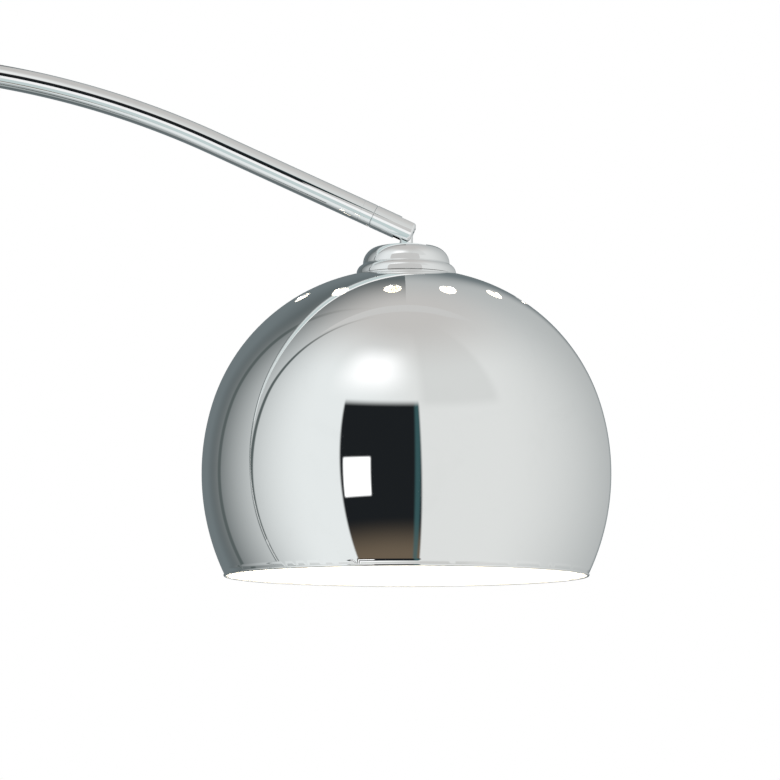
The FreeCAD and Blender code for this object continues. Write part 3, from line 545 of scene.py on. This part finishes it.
# %% [markdown]
# ## The shade
# A spun dome: a flat centre, an arc over the crown and a flatter arc down the side that meet
# with one tangent. Its wall is a millimetre thick, chrome outside and white enamel inside,
# and the mouth ends in a small rolled bead. Fourteen vents are drilled square to the surface.

# %% shade outline
SIDE_ARC, CROWN_ARC, SHOULDER = 188.5 * MM, 153.6 * MM, 16.8
EQUATOR, WALL = 83.7 * MM, 1.0 * MM
SIDE_X = SHADE_RADIUS - SIDE_ARC
bend = math.radians(SHOULDER)
CROWN_X = SIDE_X + (SIDE_ARC - CROWN_ARC) * math.cos(bend)
CROWN_Z = MOUTH + EQUATOR + (SIDE_ARC - CROWN_ARC) * math.sin(bend)
NIPPLE = 5.05 * MM


def shade_wall(inset, rim):
    """One face of the wall, from the mouth to the centre."""
    side, crown = SIDE_ARC - inset, CROWN_ARC - inset
    low = -math.degrees(math.asin((EQUATOR - rim) / side))
    wall = arc((SIDE_X, MOUTH + EQUATOR), side, low, SHOULDER, 34)
    return wall + arc((CROWN_X, CROWN_Z), crown, SHOULDER, 90, 44)[1:]


BEAD = 1.1 * MM
lean = math.degrees(math.acos(WALL / 2 / BEAD))
join = BEAD * (1 + math.sin(math.radians(lean)))
outside, inside = shade_wall(0, join), shade_wall(WALL, join)
lip = ((outside[0][0] + inside[0][0]) / 2, MOUTH + BEAD)
bead = arc(lip, BEAD, 180 - lean, 360 + lean, 18)
centre = [(NIPPLE, outside[-1][1]), (NIPPLE, inside[-1][1])]
outline = outside + centre + inside[::-1] + bead[1:-1] + outside[:1]
shade = lathe("dome_shade", outline, SHADE_AXIS, 264)
print("shade wall from", len(outline), "points")


# %% [markdown]
# The vents are cut with a Boolean. That leaves long thin faces round each hole, which would
# dent a mirror, so an uncut copy keeps the true normals and hands them back afterwards.

# %% vents
VENTS, VENT_RING, VENT_RADIUS = 14, 98 * MM, 7 * MM
VENT_TURN = math.radians(6.3)


def two_finishes(piece):
    """Chrome outside and enamel inside, by which way each face looks from the wall's middle."""
    piece.data.materials.append(SHADE_CHROME)
    piece.data.materials.append(WHITE_ENAMEL)
    heart = Vector((SHADE_AXIS.x, SHADE_AXIS.y, MOUTH + EQUATOR))
    for face in piece.data.polygons:
        face.material_index = 0 if face.normal.dot(face.center - heart) > 0 else 1


def modified(piece, kind, **settings):
    """Adds a modifier and applies it."""
    bare()
    piece.select_set(True)
    bpy.context.view_layer.objects.active = piece
    modifier = piece.modifiers.new(kind.lower(), kind)
    for name, value in settings.items():
        setattr(modifier, name, value)
    bpy.ops.object.modifier_apply(modifier=modifier.name)


two_finishes(shade)
bare()
shade.select_set(True)
bpy.context.view_layer.objects.active = shade
bpy.ops.object.shade_smooth_by_angle(angle=math.radians(28))
bpy.ops.object.duplicate()
uncut = bpy.context.object

tilt = math.asin((VENT_RING - CROWN_X) / CROWN_ARC)
middle = Vector((VENT_RING, 0, CROWN_Z + CROWN_ARC * math.cos(tilt)))
drills = []
for number in range(VENTS):
    spun = Matrix.Rotation(VENT_TURN + math.tau * number / VENTS, 4, "Z")
    bare()
    bpy.ops.mesh.primitive_cylinder_add(
        vertices=48, radius=VENT_RADIUS, depth=24 * MM, location=SHADE_AXIS + spun @ middle,
        rotation=(spun @ Matrix.Rotation(tilt, 4, "Y")).to_euler())
    drills.append(bpy.context.object)
bare()
for drill in drills:
    drill.select_set(True)
bpy.context.view_layer.objects.active = drills[0]
bpy.ops.object.join()
drill = bpy.context.object
drill.data.materials.append(SHADE_CHROME)
modified(shade, "BOOLEAN", object=drill, operation="DIFFERENCE", solver="EXACT")
modified(shade, "DATA_TRANSFER", object=uncut, use_loop_data=True, data_types_loops={"CUSTOM_NORMAL"},
         loop_mapping="POLYINTERP_NEAREST")
for spare in (drill, uncut):
    bpy.data.objects.remove(spare)
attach(shade, "head")
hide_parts("shade_shell")
print("vents cut:", VENTS, "faces now", len(shade.data.polygons))


# %% [markdown]
# ## Cap, arm, column, base and bulb
# The cap is pressed from sheet: a low dome, a shoulder, a waist and a rolled skirt.

# %% the cap
CAP_LOW, CAP_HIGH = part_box("shade_cap")
CAP_TOP, CAP_BASE = CAP_HIGH.z, CAP_LOW.z
CAP_RADIUS, CAP_WALL = 40.4 * MM, 1.2 * MM


def between(first, last, radius, side, count):
    """Points on the short arc from one outline point to another, without the first."""
    a, b = Vector(first), Vector(last)
    chord = b - a
    reach = math.sqrt(radius ** 2 - (chord.length / 2) ** 2)
    heart = (a + b) / 2 + Vector((-chord.y, chord.x)).normalized() * reach * side
    start, end = a - heart, b - heart
    swing = math.atan2(start.x * end.y - start.y * end.x, start.dot(end))
    turns = [swing * step / count for step in range(1, count + 1)]
    return [tuple(heart + Matrix.Rotation(t, 2) @ start) for t in turns]


STEM, FLAT, WAIST = 5.9 * MM, 26 * MM, 35.2 * MM
CAP_BORE, CAP_RIM, WAIST_DROP = 5.5 * MM, 1.6 * MM, 16.2 * MM
CROWN_ROUND, SHOULDER_ROUND, WAIST_ROUND, SKIRT_ROUND = 115 * MM, 14 * MM, 0.8 * MM, 7.4 * MM
WAIST_STEP = Vector((0.3 * MM, -0.8 * MM))
flat_z = CAP_TOP - (CROWN_ROUND - math.sqrt(CROWN_ROUND ** 2 - FLAT ** 2))
waist_z = CAP_TOP - WAIST_DROP
top = [(CAP_BORE, CAP_TOP), (STEM, CAP_TOP)]
top += between(top[-1], (FLAT, flat_z), CROWN_ROUND, -1, 10)
top += between(top[-1], (WAIST, waist_z), SHOULDER_ROUND, -1, 14)
top += between(top[-1], (WAIST + WAIST_STEP.x, waist_z + WAIST_STEP.y), WAIST_ROUND, 1, 4)
top += between(top[-1], (CAP_RADIUS, CAP_BASE + CAP_RIM), SKIRT_ROUND, -1, 12)
under = [(CAP_RADIUS, CAP_BASE), (CAP_RADIUS - CAP_WALL, CAP_BASE),
         (CAP_RADIUS - CAP_WALL, CAP_BASE + CAP_RIM), (WAIST - CAP_WALL, waist_z),
         (FLAT, flat_z - CAP_RIM), (STEM, CAP_TOP - CAP_WALL), (CAP_BORE, CAP_TOP - CAP_WALL)]
cap = lathe("shade_cap_dome", top + under + top[:1], SHADE_AXIS, 128)
finished(cap, "head", "shade_cap", CHROME, 32)


# %% [markdown]
# The arm is one bend of tube in three lengths. A ring of points is pushed straight up, then
# spun about the bend's own axis, and the last length runs on straight to the knuckle.

# %% the arm
ARM_RADIUS, ARM_WALL, BEND_RADIUS = 9.5 * MM, 1.2 * MM, 720 * MM
ARM_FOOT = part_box("arm_lower")[0].z
DROOP = math.asin(-ARM_WAY.z)
run = (ARM_END.x - COLUMN.x - BEND_RADIUS * (1 + math.sin(DROOP))) / math.cos(DROOP)
BEND_START = ARM_END.z + run * math.sin(DROOP) - BEND_RADIUS * math.cos(DROOP)
BEND_AXIS = Vector((COLUMN.x + BEND_RADIUS, 0, BEND_START))
THIRD = (math.pi / 2 + DROOP) / 3


def on_bend(angle):
    """A point of the arm's centre line and the way the tube runs there."""
    point = BEND_AXIS + Vector((-math.cos(angle), 0, math.sin(angle))) * BEND_RADIUS
    return point, Vector((math.sin(angle), 0, math.cos(angle)))


def arm_length(name, start, straight, turn):
    """A stretch of tube: from an angle on the bend, straight for a length, then bent."""
    point, heading = on_bend(start)
    bare()
    bpy.ops.mesh.primitive_circle_add(vertices=96, radius=ARM_RADIUS, location=point - heading * straight,
                                      rotation=heading.to_track_quat("Z", "Y").to_euler())
    piece = bpy.context.object
    bpy.ops.object.mode_set(mode="EDIT")
    if straight:
        bpy.ops.mesh.extrude_region_move(TRANSFORM_OT_translate={"value": heading * straight})
    if turn:
        bpy.ops.mesh.spin(steps=72, angle=turn, center=BEND_AXIS, axis=(0, -1, 0))
    return piece


def as_tube(piece, name, wall):
    """Gives a bent skin its wall, inwards."""
    close_up()
    bare()
    piece.select_set(True)
    bpy.context.view_layer.objects.active = piece
    bpy.ops.object.transform_apply(location=True, rotation=True, scale=True)
    modified(piece, "SOLIDIFY", thickness=wall, offset=-1.0)
    piece.name = piece.data.name = name
    return piece


arms = [("lower", 0, BEND_START - ARM_FOOT, THIRD), ("middle", THIRD, 0, THIRD)]
for place, start, straight, turn in arms:
    tube = as_tube(arm_length(place, start, straight, turn), f"arm_tube_{place}", ARM_WALL)
    finished(tube, "arm", f"arm_{place}", CHROME)
tube = arm_length("upper", 2 * THIRD, 0, THIRD)
bpy.ops.mesh.extrude_region_move(TRANSFORM_OT_translate={"value": ARM_WAY * run})
finished(as_tube(tube, "arm_tube_upper", ARM_WALL), "arm", "arm_upper", CHROME)


# %% [markdown]
# A polished rod mirrors what stands in front of it as long thin lines. Two glowing strips follow
# the arm close in front of it, a white one under its middle and a cool one below, so that only a
# thin line of the dark room is left. They belong to the studio and not to the lamp.

# %% strips in front of the arm
STRIP_AWAY, PAST_KNUCKLE = Vector((0, -0.016, 0)), 0.06
STRIP_TOP, STRIP_SPLIT, STRIP_BOTTOM = 1.2 * MM, 6 * MM, 15.5 * MM


def arm_card(name, top, bottom, glow):
    """A glowing strip along the last third of the arm, between two depths below its middle."""
    point = on_bend(2 * THIRD)[0] + STRIP_AWAY
    inward = (BEND_AXIS - on_bend(2 * THIRD)[0]).normalized()
    bare()
    bpy.ops.mesh.primitive_plane_add(size=1)
    item = bpy.context.object
    item.name = name
    item.data.clear_geometry()
    item.data.from_pydata([point + inward * depth for depth in (top, bottom)], [(0, 1)], [])
    bpy.ops.object.mode_set(mode="EDIT")
    bpy.ops.mesh.select_all(action="SELECT")
    bpy.ops.mesh.spin(steps=48, angle=THIRD, center=BEND_AXIS + STRIP_AWAY, axis=(0, -1, 0))
    bpy.ops.mesh.extrude_region_move(TRANSFORM_OT_translate={"value": ARM_WAY * (run + PAST_KNUCKLE)})
    bpy.ops.object.mode_set(mode="OBJECT")
    glowing(item, glow)


arm_card("arm_card_white", STRIP_TOP, STRIP_SPLIT, (0.97, 0.97, 0.97))
arm_card("arm_card_cool", STRIP_SPLIT, STRIP_BOTTOM, (0.56, 0.65, 0.65))
print("two strips follow the arm over", round(math.degrees(THIRD), 1), "degrees of its bend")


# %% [markdown]
# The column is three straight tubes with eased ends, which leave a small groove at each seam, and the base
# is one thick disc of stone with a rounded top edge. They are turned pieces too.

# %% the column
EASE, TUBE_WALL = 0.4 * MM, 1.5 * MM
SIDE_HOLES = {"column_lower": ("cord_bush", 5.52 * MM), "column_upper": ("clamp_pad", 4.5 * MM)}
for name in ("column_lower", "column_middle", "column_upper"):
    low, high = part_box(name)
    radius = (high.y - low.y) / 2
    bore = radius - TUBE_WALL
    wall = [(bore, low.z), (radius - EASE, low.z), (radius, low.z + EASE), (radius, high.z - EASE),
            (radius - EASE, high.z), (bore, high.z), (bore, low.z)]
    tube = lathe(f"{name}_tube", wall, Vector((COLUMN.x, 0, 0)), 96)
    if name in SIDE_HOLES:
        filler, hole_radius = SIDE_HOLES[name]
        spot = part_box(filler)
        hole = (spot[0] + spot[1]) / 2
        bare()
        bpy.ops.mesh.primitive_cylinder_add(
            vertices=40, radius=hole_radius, depth=2 * radius,
            location=(COLUMN.x - radius, 0, hole.z), rotation=(0, math.pi / 2, 0))
        drill = bpy.context.object
        modified(tube, "BOOLEAN", object=drill, operation="DIFFERENCE", solver="EXACT")
        bpy.data.objects.remove(drill)
    finished(tube, "stand", name, CHROME)

# %% the stone base
low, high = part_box("base_slab")
SLAB, ROUND, BEVEL = (high.y - low.y) / 2, 6 * MM, 1.2 * MM
STUD, RECESS, DRILLED = 6.6 * MM, 19 * MM, 0.2
slab = [(0, low.z), (SLAB - BEVEL, low.z), (SLAB, low.z + BEVEL)]
slab += arc((SLAB - ROUND, high.z - ROUND), ROUND, 0, 90, 12) + [(0, high.z)]
stone = lathe("stone_base", slab, Vector((0, 0, 0)), 192)
bare()
recess_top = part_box("base_washer")[1].z
bpy.ops.mesh.primitive_cylinder_add(vertices=64, radius=RECESS, depth=2 * (recess_top - low.z),
                                    location=(COLUMN.x, 0, low.z))
recess = bpy.context.object
bare()
bpy.ops.mesh.primitive_cylinder_add(vertices=64, radius=STUD, depth=DRILLED,
                                    location=(COLUMN.x, 0, high.z))
bore = bpy.context.object
for drill in (recess, bore):
    modified(stone, "BOOLEAN", object=drill, operation="DIFFERENCE", solver="EXACT")
    bpy.data.objects.remove(drill)
finished(stone, "stand", "base_slab", MARBLE)


# %% [markdown]
# The bulb's glass is blown: a round end that narrows in one smooth curve to the neck.

# %% the bulb
low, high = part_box("bulb_glass")
GLASS = (high.y - low.y) / 2
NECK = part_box("bulb_base")[1].y
ball = low.z + GLASS
swell = arc((0, ball), GLASS, -90, 38, 40)
shoulder_at, shoulder_z = swell[-1]
THROAT_STEPS, THROAT_SLOPE = 24, 0.6 * math.tan(math.radians(52))
for step in range(1, THROAT_STEPS + 1):
    share = step / THROAT_STEPS
    smooth = share * share * (3 - 2 * share)
    slope = THROAT_SLOPE * share * (1 - share) ** 2 * (shoulder_at - NECK)
    radius = shoulder_at + (NECK - shoulder_at) * smooth - slope
    swell.append((radius, shoulder_z + (high.z - shoulder_z) * share))
skin = [(0.0, swell[0][1])] + swell[1:] + [(NECK - 1 * MM, high.z)]
bulb = lathe("opal_bulb", skin, SHADE_AXIS, 96)
finished(bulb, "head", "bulb_glass", OPAL, 40)
